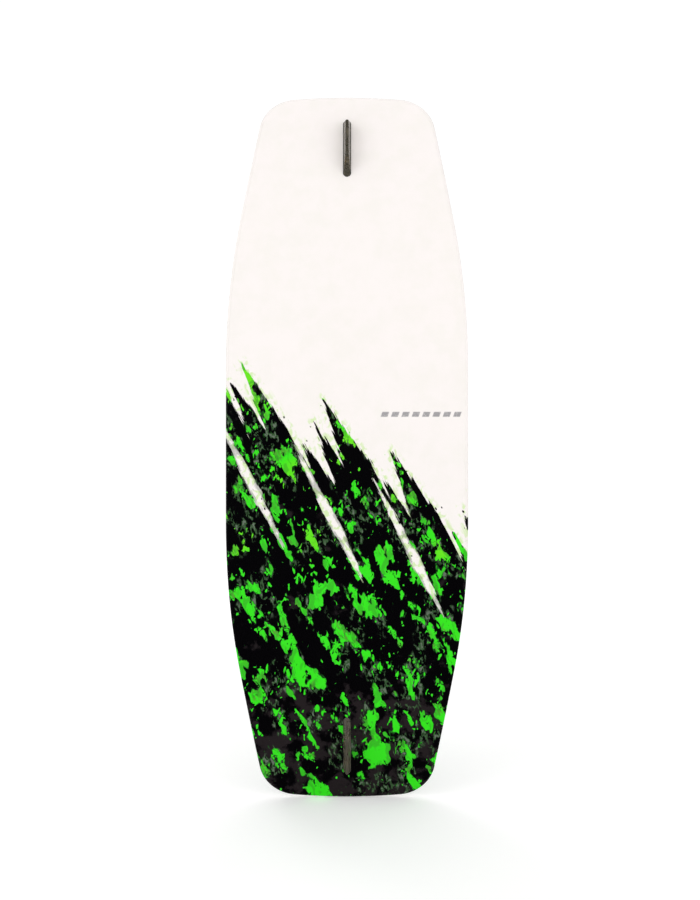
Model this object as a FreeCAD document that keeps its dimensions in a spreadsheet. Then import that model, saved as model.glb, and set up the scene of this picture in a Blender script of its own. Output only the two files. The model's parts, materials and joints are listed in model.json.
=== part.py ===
"""A twin-tip wakeboard, built up in the layers and hardware of the real board.

The board stands on its tail: +Z runs to the nose, +Y points out of the deck and -Y out of
the base, and X runs across the board. The origin is the centre of the stance pattern, at
mid-length, in a plane just under the deck that every insert's bore crosses. Millimetres
throughout.
"""

import FreeCAD, Part
import math
import os

import Sketcher

from FreeCAD import Placement, Rotation, Vector

SHEET = "Dimensions"

# Driving dimensions: alias, value and what it measures.
DIMENSIONS = (
    # plan outline
    ("half_length", 670.0, "origin to the nose or tail end"),
    ("half_width", 223.0, "centre line to the rail at mid-length"),
    ("straight_half", 140.0, "half of the straight length of each rail"),
    ("side_radius", 1600.0, "arc that draws each rail in towards the tips"),
    ("corner_radius", 72.0, "rounded corners of both tips"),
    ("corner_offset", 95.0, "centre line to the centre of a corner's arc"),
    ("tip_radius", 1130.0, "slight arc of the tip edge"),
    # side profile
    ("rocker_flat_half", 200.0, "half of the flat length of the base"),
    ("rocker_radius", 1812.0, "arc of the base from the flat to the tips"),
    ("centre_thickness", 26.0, "base to deck at mid-length"),
    ("origin_depth", 2.5, "deck down to the origin, at mid-length"),
    ("rail_height", 13.0, "base to deck at the rail and at the tips"),
    ("shoulder_width", 66.0, "deck slope between the plateau and the rail ring"),
    ("thickness_power", 2.2, "how late the plateau thins towards the tips"),
    # layers
    ("sheet_thickness", 0.6, "printed base and top sheets"),
    ("laminate_thickness", 0.8, "glass laminates"),
    ("rail_width", 12.0, "sidewall ring round the core"),
    ("sheet_inset", 5.5, "outline to the edge of the base sheet"),
    ("base_edge_radius", 4.0, "rounding of the rail's edge at the base"),
    ("deck_edge_radius", 5.0, "rounding of the rail's edge at the deck"),
    # binding inserts
    ("stance_half", 290.0, "origin to the centre of each foot's inserts"),
    ("row_offset", 76.2, "centre line to each row of inserts"),
    ("insert_pitch", 25.4, "insert to insert along a row"),
    ("inserts_per_row", 6.0, "inserts in each row"),
    ("insert_bore_radius", 3.0, "M6 thread, modelled plain"),
    ("insert_bore_depth", 13.0, "thread depth below the flange"),
    ("insert_barrel_radius", 4.8, "barrel of an insert"),
    ("insert_groove_radius", 4.3, "bottom of the grooves that key the barrel"),
    ("insert_groove_start", 4.0, "top of an insert to its first groove"),
    ("insert_groove_width", 2.0, "each groove, and the land between them"),
    ("insert_length", 14.5, "overall length of an insert"),
    ("insert_flange_radius", 8.0, "flange of an insert"),
    ("insert_flange_thickness", 1.5, "flange of an insert"),
    ("insert_recess", 0.8, "deck to the top of the flange"),
    ("block_width", 36.0, "high-density insert block, across the board"),
    ("block_length", 170.0, "high-density insert block, along the board"),
    ("block_corner", 8.0, "rounded corners of an insert block"),
    # centre fins and what holds them
    ("fin_station", 562.0, "origin to the middle of each fin's root"),
    ("fin_root_length", 114.0, "fin at the gasket"),
    ("fin_root_width", 13.0, "fin at the gasket"),
    ("fin_tip_length", 66.0, "fin at its free edge"),
    ("fin_tip_width", 6.0, "fin at its free edge"),
    ("fin_tip_shift", 9.0, "free edge, towards the end of the board"),
    ("fin_depth", 27.0, "gasket to the fin's free edge"),
    ("fin_edge_radius", 2.0, "rounding of the free edge"),
    ("fin_heel", 4.0, "how far the loft starts inside the board"),
    ("gasket_thickness", 1.0, "fin gasket"),
    ("gasket_margin", 1.0, "gasket beyond the fin's root"),
    ("screw_spacing", 50.8, "between a fin's two screws"),
    ("screw_radius", 2.9, "shank of an M6 fin screw"),
    ("screw_reach", 9.5, "shank beyond the base, into the fin"),
    ("head_radius", 5.8, "pan head of a fin screw"),
    ("head_height", 3.6, "pan head of a fin screw"),
    ("head_rounding", 2.2, "rounding of the pan head"),
    ("cross_width", 1.3, "blade width of the cross recess"),
    ("cross_length", 6.4, "blade length of the cross recess"),
    ("cross_depth", 2.2, "depth of the cross recess"),
    ("nut_radius", 4.1, "threaded nut moulded into the fin"),
    ("nut_bore_radius", 3.0, "M6 thread of that nut, modelled plain"),
    ("nut_length", 10.0, "threaded nut moulded into the fin"),
    ("nut_end_space", 1.0, "blind end of the hole past the nut"),
    ("sleeve_radius", 5.0, "tube through the core round a screw"),
    ("sleeve_bore_radius", 3.3, "clearance for the screw"),
    ("seat_height", 13.5, "base to the top of the sleeve"),
    ("washer_radius", 7.0, "cup washer under the screw head"),
    ("washer_bore_radius", 3.2, "cup washer under the screw head"),
    ("washer_thickness", 1.2, "cup washer under the screw head"),
    ("washer_clearance", 0.3, "counterbore beyond the washer"),
)

MARGIN = 30.0  # how far working solids run past the board's ends and rails
TALL = 120.0  # how far working solids run above or below the origin
DECK_COLUMNS, DECK_ROWS = 25, 25  # points that the deck surface passes through
NET_MARGIN = 1.05  # those points' half-width and half-length, over the board's


class Size:
    """A length that knows its number and the spreadsheet formula it comes from."""

    def __init__(self, formula, value):
        self.formula = formula
        self.value = value

    def joined(self, other, sign, value):
        if not isinstance(other, Size):
            other = Size(str(other), float(other))
        return Size(f"({self.formula} {sign} {other.formula})", value(self.value, other.value))

    def __add__(self, other):
        return self.joined(other, "+", lambda a, b: a + b)

    def __sub__(self, other):
        return self.joined(other, "-", lambda a, b: a - b)

    def __mul__(self, other):
        return self.joined(other, "*", lambda a, b: a * b)

    def __truediv__(self, other):
        return self.joined(other, "/", lambda a, b: a / b)

    def __neg__(self):
        return Size(f"(0 - {self.formula})", -self.value)


class Dimensions:
    """The spreadsheet's cells, one attribute per alias."""

    def __init__(self, doc):
        self.sheet = doc.addObject("Spreadsheet::Sheet", SHEET)
        for row, (alias, value, meaning) in enumerate(DIMENSIONS, start=1):
            self.sheet.set(f"A{row}", meaning)
            self.sheet.set(f"B{row}", str(value))
            self.sheet.setAlias(f"B{row}", alias)
            setattr(self, alias, Size(f"{SHEET}.{alias}", value))


doc = FreeCAD.newDocument("Wakeboard")
dims = Dimensions(doc)
doc.recompute()


def bind(target, **sizes):
    """Bind properties to the spreadsheet; double underscores stand for dots."""
    for path, size in sizes.items():
        target.setExpression(path.replace("__", "."), size.formula)


# ---------------------------------------------------------------- sketch helpers


def origin_plane(body, role):
    return next(f for f in body.Origin.OriginFeatures if f.Role == role)


def add_sketch(body, name, role):
    sketch = body.newObject("Sketcher::SketchObject", name)
    sketch.AttachmentSupport = [(origin_plane(body, role), "")]
    sketch.MapMode = "FlatFace"
    return sketch


def constrain(sketch, size, *arguments):
    """Add one dimensional constraint and bind it to the spreadsheet."""
    index = sketch.addConstraint(Sketcher.Constraint(*arguments, size.value))
    label = f"size_{index}"
    sketch.renameConstraint(index, label)
    sketch.setExpression(f"Constraints.{label}", size.formula)


def place(sketch, edge, point, across=None, along=None):
    """Hold a vertex at its distances from the sketch's origin, on either side of it."""
    for kind, size in (("DistanceX", across), ("DistanceY", along)):
        if size is None:
            continue
        if size.value >= 0:
            constrain(sketch, size, kind, -1, 1, edge, point)
        else:
            constrain(sketch, -size, kind, edge, point, -1, 1)


def segment(sketch, start, end):
    return sketch.addGeometry(Part.LineSegment(Vector(*start, 0), Vector(*end, 0)))


def arc(sketch, centre, radius, start, end):
    circle = Part.Circle(Vector(*centre, 0), Vector(0, 0, 1), radius)
    return sketch.addGeometry(Part.ArcOfCircle(circle, start, end))


def polygon(sketch, corners):
    """Closed polygon whose corners are pairs of sizes."""
    values = [(across.value, along.value) for across, along in corners]
    count = len(corners)
    for index in range(count):
        segment(sketch, values[index], values[(index + 1) % count])
    for index, (across, along) in enumerate(corners):
        sketch.addConstraint(Sketcher.Constraint("Coincident", (index - 1) % count, 2, index, 1))
        place(sketch, index, 1, across, along)


# ---------------------------------------------------------------- plan outline


def taper_angle(side_centre, side, corner_centre, corner):
    """Angle of the straight taper that touches the side arc and the corner's arc."""
    across = corner_centre[0] - side_centre[0]
    along = corner_centre[1] - side_centre[1]
    return math.atan2(along, across) - math.acos((side - corner) / math.hypot(across, along))


def corner_height(tip_centre, tip, corner, corner_x):
    """Where a corner's arc, this far from the centre line, sits inside the tip's arc."""
    return tip_centre + math.sqrt((tip - corner) ** 2 - corner_x**2)


def outline(sketch, inset):
    """The plan outline, drawn in by inset: straight rails, side arcs, tapers, corners, tips."""
    half_width = dims.half_width - inset
    half_length = dims.half_length - inset
    side_radius = dims.side_radius - inset
    corner_radius = dims.corner_radius - inset
    tip_radius = dims.tip_radius - inset
    straight, corner_x = dims.straight_half, dims.corner_offset

    width, length = half_width.value, half_length.value
    side, corner, tip = side_radius.value, corner_radius.value, tip_radius.value
    side_centre = (width - side, straight.value)
    tip_centre = (0.0, length - tip)
    corner_z = corner_height(tip_centre[1], tip, corner, corner_x.value)
    corner_centre = (corner_x.value, corner_z)
    taper = taper_angle(side_centre, side, corner_centre, corner)
    to_tip = math.atan2(corner_z - tip_centre[1], corner_x.value)

    def on_circle(centre, radius, angle):
        return (centre[0] + radius * math.cos(angle), centre[1] + radius * math.sin(angle))

    taper_start = on_circle(side_centre, side, taper)
    taper_end = on_circle(corner_centre, corner, taper)
    for turn in (1, -1):  # the rail and tip on one side, then the same turned half way round
        swing = 0.0 if turn > 0 else math.pi

        def turned(point, mirror=1):
            return (turn * mirror * point[0], turn * point[1])

        first = segment(sketch, turned((width, -straight.value)), turned((width, straight.value)))
        arc(sketch, turned(side_centre), side, swing, swing + taper)
        segment(sketch, turned(taper_start), turned(taper_end))
        arc(sketch, turned(corner_centre), corner, swing + taper, swing + to_tip)
        arc(sketch, turned(tip_centre), tip, swing + to_tip, swing + math.pi - to_tip)
        arc(
            sketch,
            turned(corner_centre, -1),
            corner,
            swing + math.pi - to_tip,
            swing + math.pi - taper,
        )
        segment(sketch, turned(taper_end, -1), turned(taper_start, -1))
        arc(sketch, turned(side_centre, -1), side, swing + math.pi - taper, swing + math.pi)

        sketch.addConstraint(Sketcher.Constraint("Vertical", first))
        place(sketch, first, 1, half_width * turn, -straight * turn)
        place(sketch, first, 2, None, straight * turn)
        for edge in (first + 1, first + 7):
            constrain(sketch, side_radius, "Radius", edge)
        for edge, mirror in ((first + 3, 1), (first + 5, -1)):
            constrain(sketch, corner_radius, "Radius", edge)
            place(sketch, edge, 3, corner_x * (turn * mirror), None)
        constrain(sketch, tip_radius, "Radius", first + 4)
        sketch.addConstraint(Sketcher.Constraint("PointOnObject", first + 4, 3, -2))
        place(sketch, first + 4, 3, None, (half_length - tip_radius) * turn)
    edges = sketch.GeometryCount
    for edge in range(edges):
        sketch.addConstraint(Sketcher.Constraint("Tangent", edge, 2, (edge + 1) % edges, 1))


def outline_prism(name, inset):
    """The plan outline, drawn in by inset, as a tall prism across the deck and base."""
    body = doc.addObject("PartDesign::Body", name)
    sketch = add_sketch(body, f"{name}_outline", "XZ_Plane")
    outline(sketch, inset)
    pad = body.newObject("PartDesign::Pad", f"{name}_pad")
    pad.Profile = sketch
    pad.SideType = "Symmetric"
    pad.Length = 2 * TALL
    return body


# ---------------------------------------------------------------- side profile


def rocker_line(sketch, depth):
    """The base line moved depth towards the deck: arc, flat, arc. Returns the three edges."""
    radius = dims.rocker_radius - depth
    flat = dims.rocker_flat_half
    level = depth - dims.centre_thickness + dims.origin_depth
    end = dims.half_length + MARGIN
    centre_y = level.value + radius.value
    sweep = math.asin((end.value - flat.value) / radius.value)
    nose = arc(sketch, (centre_y, flat.value), radius.value, math.pi - sweep, math.pi)
    middle = segment(sketch, (level.value, flat.value), (level.value, -flat.value))
    tail = arc(sketch, (centre_y, -flat.value), radius.value, math.pi, math.pi + sweep)
    sketch.addConstraint(Sketcher.Constraint("Vertical", middle))
    sketch.addConstraint(Sketcher.Constraint("Tangent", nose, 2, middle, 1))
    sketch.addConstraint(Sketcher.Constraint("Tangent", middle, 2, tail, 1))
    for edge in (nose, tail):
        constrain(sketch, radius, "Radius", edge)
    place(sketch, middle, 1, level, flat)
    place(sketch, middle, 2, None, -flat)
    place(sketch, nose, 1, None, end)
    place(sketch, tail, 2, None, -end)
    return nose, middle, tail


def point_of(sketch, edge, position):
    point = sketch.getPoint(edge, position)
    return (point.x, point.y)


def join(sketch, start, end, rule):
    """A straight edge from one vertex to another, with one orientation rule."""
    edge = segment(sketch, point_of(sketch, *start), point_of(sketch, *end))
    sketch.addConstraint(Sketcher.Constraint("Coincident", edge, 1, *start))
    sketch.addConstraint(Sketcher.Constraint("Coincident", edge, 2, *end))
    if rule:
        sketch.addConstraint(Sketcher.Constraint(rule, edge))
    return edge


def across_board(body, sketch):
    pad = body.newObject("PartDesign::Pad", f"{body.Name}_pad")
    pad.Profile = sketch
    pad.SideType = "Symmetric"
    bind(pad, Length=(dims.half_width + MARGIN) * 2)


def base_layer(name, depth, thickness):
    """A layer that follows the rocker, from depth to depth + thickness above the base."""
    body = doc.addObject("PartDesign::Body", name)
    sketch = add_sketch(body, f"{name}_profile", "YZ_Plane")
    outer = rocker_line(sketch, depth)
    inner = rocker_line(sketch, depth + thickness)
    join(sketch, (outer[0], 1), (inner[0], 1), None)
    join(sketch, (outer[2], 2), (inner[2], 2), None)
    across_board(body, sketch)
    return body


def above_base(name, depth):
    """Everything from depth above the base up past the deck."""
    body = doc.addObject("PartDesign::Body", name)
    sketch = add_sketch(body, f"{name}_profile", "YZ_Plane")
    nose, _, tail = rocker_line(sketch, depth)
    end = (dims.half_length + MARGIN).value
    lid = segment(sketch, (TALL, end), (TALL, -end))
    sketch.addConstraint(Sketcher.Constraint("Vertical", lid))
    place(sketch, lid, 1, Size(str(TALL), TALL), None)
    join(sketch, (nose, 1), (lid, 1), "Horizontal")
    join(sketch, (tail, 2), (lid, 2), "Horizontal")
    across_board(body, sketch)
    return body


def layer_height(z, depth):
    """Y of the base line moved depth towards the deck, at z."""
    past = max(abs(z) - dims.rocker_flat_half.value, 0.0)
    radius = dims.rocker_radius.value - depth
    level = (dims.origin_depth - dims.centre_thickness).value + depth
    return level + radius - math.sqrt(radius**2 - past**2)


def rail_distance(z):
    """Half-width of the rails at z, without the tips' corners."""
    past = max(abs(z) - dims.straight_half.value, 0.0)
    radius, corner, tip = (
        size.value for size in (dims.side_radius, dims.corner_radius, dims.tip_radius)
    )
    side_centre = (dims.half_width.value - radius, dims.straight_half.value)
    corner_x = dims.corner_offset.value
    corner_z = corner_height(dims.half_length.value - tip, tip, corner, corner_x)
    taper = taper_angle(side_centre, radius, (corner_x, corner_z), corner)
    turn = min(math.asin(past / radius), taper)
    drop = radius * (1 - math.cos(turn)) + (past - radius * math.sin(turn)) * math.tan(turn)
    return dims.half_width.value - drop


def plateau_rise(z):
    """How far the deck's plateau stands above the rails at z."""
    share = min(abs(z) / dims.half_length.value, 1.0) ** dims.thickness_power.value
    return (dims.centre_thickness - dims.rail_height).value * (1 - share)


def deck_height(x, z):
    """Y of the deck at x, z: a plateau with smooth shoulders down to the rail ring."""
    inside = rail_distance(z) - dims.rail_width.value - abs(x)
    share = min(max(inside / dims.shoulder_width.value, 0.0), 1.0)
    return layer_height(z, dims.rail_height.value) + plateau_rise(z) * share**2 * (3 - 2 * share)


def deck_face():
    """The deck as one smooth surface through rows of points that follow the rails."""
    rows = []
    for row in range(DECK_ROWS):
        z = (2 * row / (DECK_ROWS - 1) - 1) * dims.half_length.value * NET_MARGIN
        edge = rail_distance(z) * NET_MARGIN
        xs = [(2 * column / (DECK_COLUMNS - 1) - 1) * edge for column in range(DECK_COLUMNS)]
        rows.append([Vector(x, deck_height(x, z), z) for x in xs])
    surface = Part.BSplineSurface()
    surface.interpolate(rows)
    return surface.toShape()


def deck_slab(name, top, thickness):
    """The space from top to top + thickness above the deck, following its surface."""
    feature = doc.addObject("Part::Feature", name)
    moved = DECK.copy()
    moved.translate(Vector(0, top, 0))
    feature.Shape = moved.extrude(Vector(0, thickness, 0))
    return feature


# ---------------------------------------------------------------- booleans and groups


def common(name, first, second):
    result = doc.addObject("Part::Common", name)
    result.Base, result.Tool = first, second
    return result


def cut(name, first, second):
    result = doc.addObject("Part::Cut", name)
    result.Base, result.Tool = first, second
    return result


def group(name, members):
    result = doc.addObject("Part::Compound", name)
    result.Links = members
    return result


def copies(master, name, places):
    """Copies of one master at each place, as one group."""
    links = []
    for index, where in enumerate(places):
        link = doc.addObject("App::Link", f"{name}_{index}")
        link.LinkedObject = master
        link.LinkTransform = False
        link.Placement = where
        links.append(link)
    return group(name, links)


def turned(name, corners, rounding=None):
    """A body turned round the Y axis from a half profile of (radius, height) sizes."""
    body = doc.addObject("PartDesign::Body", name)
    sketch = add_sketch(body, f"{name}_profile", "XY_Plane")
    polygon(sketch, corners)
    revolution = body.newObject("PartDesign::Revolution", f"{name}_turn")
    revolution.Profile = sketch
    revolution.ReferenceAxis = (sketch, ["V_Axis"])
    revolution.Angle = 360
    doc.recompute()
    if rounding:
        height, radius = rounding
        edges = [
            f"Edge{index}"
            for index, edge in enumerate(body.Shape.Edges, start=1)
            if edge.isClosed() and is_rim(edge, height.value)
        ]
        fillet = body.newObject("PartDesign::Fillet", f"{name}_rounding")
        fillet.Base = (revolution, edges)
        bind(fillet, Radius=radius)
    return body


def is_rim(edge, height):
    """True for a full circle that lies at this height."""
    box = edge.BoundBox
    return box.YLength < 0.01 and abs(box.YMin - height) < 0.01


ZERO = Size("0", 0.0)


def ring(name, bore, radius, bottom, top):
    """A plain tube round the Y axis."""
    corners = [(bore, bottom), (radius, bottom), (radius, top), (bore, top)]
    return turned(name, corners)


# ---------------------------------------------------------------- board layers

DECK = deck_face()

outer_prism = outline_prism("outer_prism", ZERO)
sheet_prism = outline_prism("sheet_prism", dims.sheet_inset)
core_prism = outline_prism("core_prism", dims.rail_width)

base_skin_depth = dims.sheet_thickness + dims.laminate_thickness
deck_skin = (dims.sheet_thickness + dims.laminate_thickness).value

base_sheet_whole = common(
    "base_sheet_whole", sheet_prism, base_layer("base_sheet_band", ZERO, dims.sheet_thickness)
)
bottom_laminate_whole = common(
    "bottom_laminate_whole",
    core_prism,
    base_layer("bottom_laminate_band", dims.sheet_thickness, dims.laminate_thickness),
)
top_sheet_whole = common(
    "top_sheet_whole",
    core_prism,
    deck_slab("top_sheet_slab", -dims.sheet_thickness.value, dims.sheet_thickness.value),
)
top_laminate_whole = common(
    "top_laminate_whole",
    core_prism,
    deck_slab("top_laminate_slab", -deck_skin, dims.laminate_thickness.value),
)
core_space = cut(
    "core_space",
    common("core_column", core_prism, above_base("core_band", base_skin_depth)),
    deck_slab("above_core", -deck_skin, 2 * TALL),
)
doc.recompute()


# ---------------------------------------------------------------- sidewall rail


def rim_edges(shape):
    """Edge numbers of the blank's rim: first those at the base, then those at the deck."""
    at_base, at_deck = [], []
    for index, edge in enumerate(shape.Edges, start=1):
        halfway = sum(edge.ParameterRange) / 2
        middle = edge.valueAt(halfway)
        if edge.tangentAt(halfway).isParallel(Vector(0, 1, 0), 0.001):
            continue  # between two faces of the wall
        if abs(middle.x) < 1 and abs(middle.z) < dims.half_length.value - MARGIN:
            continue  # a seam across the board, where the flat meets an arc
        height = middle.y - layer_height(middle.z, 0)
        (at_base if height < dims.rail_height.value / 2 else at_deck).append(index)
    return at_base, at_deck


board_blank = common(
    "board_blank", outer_prism, base_layer("rail_band", ZERO, dims.rail_height)
)
doc.recompute()
base_rim, deck_rim = rim_edges(board_blank.Shape)
rounded_blank = doc.addObject("Part::Fillet", "rounded_blank")
rounded_blank.Base = board_blank
rounded_blank.Edges = [
    (index, radius.value, radius.value)
    for rim, radius in ((base_rim, dims.base_edge_radius), (deck_rim, dims.deck_edge_radius))
    for index in rim
]
sidewall_ring = cut("sidewall_ring", rounded_blank, core_prism)
sidewall_rail = cut("sidewall_rail", sidewall_ring, base_sheet_whole)


# ---------------------------------------------------------------- binding inserts

FEET = (("nose", 1), ("tail", -1))
SIDES = (("toeside", -1), ("heelside", 1))  # for a rider with the left foot at the nose


def insert_places(end, side):
    """Where the inserts of one row have their flange tops."""
    count = int(dims.inserts_per_row.value)
    x = side * dims.row_offset.value
    places = []
    for index in range(count):
        step = (index - (count - 1) / 2) * dims.insert_pitch.value
        z = end * dims.stance_half.value + step
        places.append(Placement(Vector(x, deck_height(x, z) - dims.insert_recess.value, z), Rotation()))
    return places


def insert_profile(mouth):
    """Half profile of an insert under its mouth: flange, barrel and two keying grooves."""
    barrel = dims.insert_barrel_radius
    flange = -dims.insert_flange_thickness
    grooves = []
    for groove in range(2):
        top = -(dims.insert_groove_start + dims.insert_groove_width * (2 * groove))
        bottom = top - dims.insert_groove_width
        grooves += [
            (barrel, top),
            (dims.insert_groove_radius, top),
            (dims.insert_groove_radius, bottom),
            (barrel, bottom),
        ]
    return [
        *mouth,
        (dims.insert_flange_radius, flange),
        (barrel, flange),
        *grooves,
        (barrel, -dims.insert_length),
        (ZERO, -dims.insert_length),
    ]


blind_bore = [
    (ZERO, -dims.insert_bore_depth),
    (dims.insert_bore_radius, -dims.insert_bore_depth),
    (dims.insert_bore_radius, ZERO),
    (dims.insert_flange_radius, ZERO),
]
open_counterbore = [
    (ZERO, dims.insert_flange_radius),
    (dims.insert_flange_radius, dims.insert_flange_radius),
]
insert_master = turned("insert_master", insert_profile(blind_bore))
insert_space = turned("insert_space", insert_profile(open_counterbore))

inserts = {}
for foot, end in FEET:
    for side_name, side in SIDES:
        row_name = f"inserts_{foot}_{side_name}"
        inserts[foot, side_name] = copies(insert_master, row_name, insert_places(end, side))

every_insert_place = [p for _, end in FEET for _, side in SIDES for p in insert_places(end, side)]
insert_spaces = copies(insert_space, "insert_spaces", every_insert_place)
doc.recompute()


def block_blank(foot, end, side_name, side):
    """The rounded box that one insert block fills in the core."""
    box = doc.addObject("Part::Box", f"block_box_{foot}_{side_name}")
    bind(box, Length=dims.block_width, Height=dims.block_length)
    box.Width = 2 * TALL
    left = dims.row_offset * side - dims.block_width / 2
    bottom = dims.stance_half * end - dims.block_length / 2
    bind(box, Placement__Base__x=left, Placement__Base__z=bottom)
    box.Placement.Base = Vector(left.value, -TALL, bottom.value)
    doc.recompute()
    upright = [
        (index, dims.block_corner.value, dims.block_corner.value)
        for index, edge in enumerate(box.Shape.Edges, start=1)
        if edge.BoundBox.YLength > TALL
    ]
    rounded = doc.addObject("Part::Fillet", f"block_blank_{foot}_{side_name}")
    rounded.Base = box
    rounded.Edges = upright
    return rounded


block_blanks = []
insert_blocks = []
for foot, end in FEET:
    for side_name, side in SIDES:
        blank = block_blank(foot, end, side_name, side)
        name = f"insert_block_{foot}_{side_name}"
        filled = common(f"{name}_whole", core_space, blank)
        seats = copies(insert_space, f"{name}_seats", insert_places(end, side))
        block = cut(name, filled, seats)
        block_blanks.append(blank)
        insert_blocks.append(block)


# ---------------------------------------------------------------- centre fins

# Each fin has a frame of its own: the origin on the base, Y into the board and Z along it.
fin_lean = math.asin(
    (dims.fin_station.value - dims.rocker_flat_half.value) / dims.rocker_radius.value
)
nose_fin_frame = Placement(
    Vector(0, layer_height(dims.fin_station.value, 0), dims.fin_station.value),
    Rotation(Vector(1, 0, 0), -math.degrees(fin_lean)),
)
half_turn = Placement(Vector(), Rotation(Vector(0, 1, 0), 180))
FIN_FRAMES = {"nose": nose_fin_frame, "tail": half_turn.multiply(nose_fin_frame)}
SCREW_PLACES = [Placement(Vector(0, 0, s * dims.screw_spacing.value / 2), Rotation()) for s in (-1, 1)]


def slot(sketch, length, width, shift):
    """A long shape with half-round ends, along the sketch's Y axis and moved by shift."""
    radius = width / 2
    reach = length / 2 - radius
    top, low, r = (shift + reach).value, (shift - reach).value, radius.value
    right = segment(sketch, (r, low), (r, top))
    cap = arc(sketch, (0, top), r, 0, math.pi)
    left = segment(sketch, (-r, top), (-r, low))
    foot = arc(sketch, (0, low), r, math.pi, 2 * math.pi)
    for first, second in ((right, cap), (cap, left), (left, foot), (foot, right)):
        sketch.addConstraint(Sketcher.Constraint("Tangent", first, 2, second, 1))
    for end_arc, height in ((cap, shift + reach), (foot, shift - reach)):
        sketch.addConstraint(Sketcher.Constraint("PointOnObject", end_arc, 3, -2))
        place(sketch, end_arc, 3, None, height)
    constrain(sketch, radius, "Radius", cap)
    sketch.addConstraint(Sketcher.Constraint("Vertical", right))


def slot_at(body, name, depth, length, width, shift):
    """A slot sketch on the plane at depth outside the base."""
    sketch = add_sketch(body, name, "XZ_Plane")
    slot(sketch, length, width, shift)
    # the plane's own Z points out of the base
    bind(sketch, AttachmentOffset__Base__z=depth)
    return sketch


def fin_blade():
    """The tapered blade, from inside the board to its rounded free edge."""
    body = doc.addObject("PartDesign::Body", "fin_blade")
    depth = dims.fin_depth + dims.gasket_thickness
    slope_width = (dims.fin_root_width - dims.fin_tip_width) / dims.fin_depth
    slope_length = (dims.fin_root_length - dims.fin_tip_length) / dims.fin_depth
    slope_shift = dims.fin_tip_shift / dims.fin_depth
    rise = dims.fin_heel + dims.gasket_thickness
    heel = slot_at(
        body,
        "fin_heel_outline",
        -dims.fin_heel,
        dims.fin_root_length + slope_length * rise,
        dims.fin_root_width + slope_width * rise,
        -(slope_shift * rise),
    )
    free_edge = slot_at(
        body, "fin_tip_outline", depth, dims.fin_tip_length, dims.fin_tip_width, dims.fin_tip_shift
    )
    loft = body.newObject("PartDesign::AdditiveLoft", "fin_loft")
    loft.Profile = heel
    loft.Sections = [free_edge]
    loft.Ruled = True
    doc.recompute()
    rim = [
        f"Edge{index}"
        for index, edge in enumerate(loft.Shape.Edges, start=1)
        if edge.BoundBox.YMax < -depth.value + 0.01
    ]
    fillet = body.newObject("PartDesign::Fillet", "fin_rounding")
    fillet.Base = (loft, rim)
    bind(fillet, Radius=dims.fin_edge_radius)
    return body


def round_base(name, extra):
    """A cylinder across the board whose outside is the base's arc, extra further out."""
    cylinder = doc.addObject("Part::Cylinder", name)
    bind(cylinder, Radius=dims.rocker_radius + extra)
    cylinder.Height = 2 * MARGIN
    turn = Rotation(Vector(0, 1, 0), 90)
    cylinder.Placement = Placement(Vector(-MARGIN, dims.rocker_radius.value, 0), turn)
    bind(cylinder, Placement__Base__y=dims.rocker_radius)
    return cylinder


nut_top = -dims.gasket_thickness
nut_bottom = nut_top - dims.nut_length
nut = ring("nut", dims.nut_bore_radius, dims.nut_radius, nut_bottom, nut_top)
nut_seat = turned(
    "nut_seat",
    [
        (ZERO, nut_bottom - dims.nut_end_space),
        (dims.nut_bore_radius, nut_bottom - dims.nut_end_space),
        (dims.nut_bore_radius, nut_bottom),
        (dims.nut_radius, nut_bottom),
        (dims.nut_radius, ZERO),
        (ZERO, ZERO),
    ],
)
sleeve = ring(
    "sleeve",
    dims.sleeve_bore_radius,
    dims.sleeve_radius,
    dims.sheet_thickness,
    dims.seat_height,
)
washer = ring(
    "washer",
    dims.washer_bore_radius,
    dims.washer_radius,
    dims.seat_height,
    dims.seat_height + dims.washer_thickness,
)
head_seat = dims.seat_height + dims.washer_thickness
head_top = head_seat + dims.head_height
screw_blank = turned(
    "screw_blank",
    [
        (ZERO, -dims.screw_reach),
        (dims.screw_radius, -dims.screw_reach),
        (dims.screw_radius, head_seat),
        (dims.head_radius, head_seat),
        (dims.head_radius, head_top),
        (ZERO, head_top),
    ],
    rounding=(head_top, dims.head_rounding),
)


def cross_blade(name, wide, long):
    """One blade of the cross recess in a screw head."""
    box = doc.addObject("Part::Box", name)
    bind(box, Length=wide, Height=long, Width=dims.cross_depth)
    corner = Vector(-wide.value / 2, (head_top - dims.cross_depth).value, -long.value / 2)
    box.Placement.Base = corner
    return box


recess = doc.addObject("Part::MultiFuse", "cross_recess")
recess.Shapes = [
    cross_blade("cross_blade_long", dims.cross_width, dims.cross_length),
    cross_blade("cross_blade_wide", dims.cross_length, dims.cross_width),
]
screw_master = cut("screw_master", screw_blank, recess)

gasket_body = doc.addObject("PartDesign::Body", "gasket_slot")
gasket_sketch = slot_at(
    gasket_body,
    "gasket_outline",
    -dims.fin_heel,
    dims.fin_root_length + dims.gasket_margin * 2,
    dims.fin_root_width + dims.gasket_margin * 2,
    ZERO,
)
gasket_pad = gasket_body.newObject("PartDesign::Pad", "gasket_pad")
gasket_pad.Profile = gasket_sketch
bind(gasket_pad, Length=dims.fin_heel * 3)
doc.recompute()

screw_hole = turned(
    "screw_hole",
    [
        (ZERO, -dims.gasket_thickness * 2),
        (dims.sleeve_bore_radius, -dims.gasket_thickness * 2),
        (dims.sleeve_bore_radius, dims.sheet_thickness),
        (dims.sleeve_radius, dims.sheet_thickness),
        (dims.sleeve_radius, dims.seat_height),
        (dims.washer_radius + dims.washer_clearance, dims.seat_height),
        (dims.washer_radius + dims.washer_clearance, head_top + dims.head_radius),
        (ZERO, head_top + dims.head_radius),
    ],
)

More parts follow.
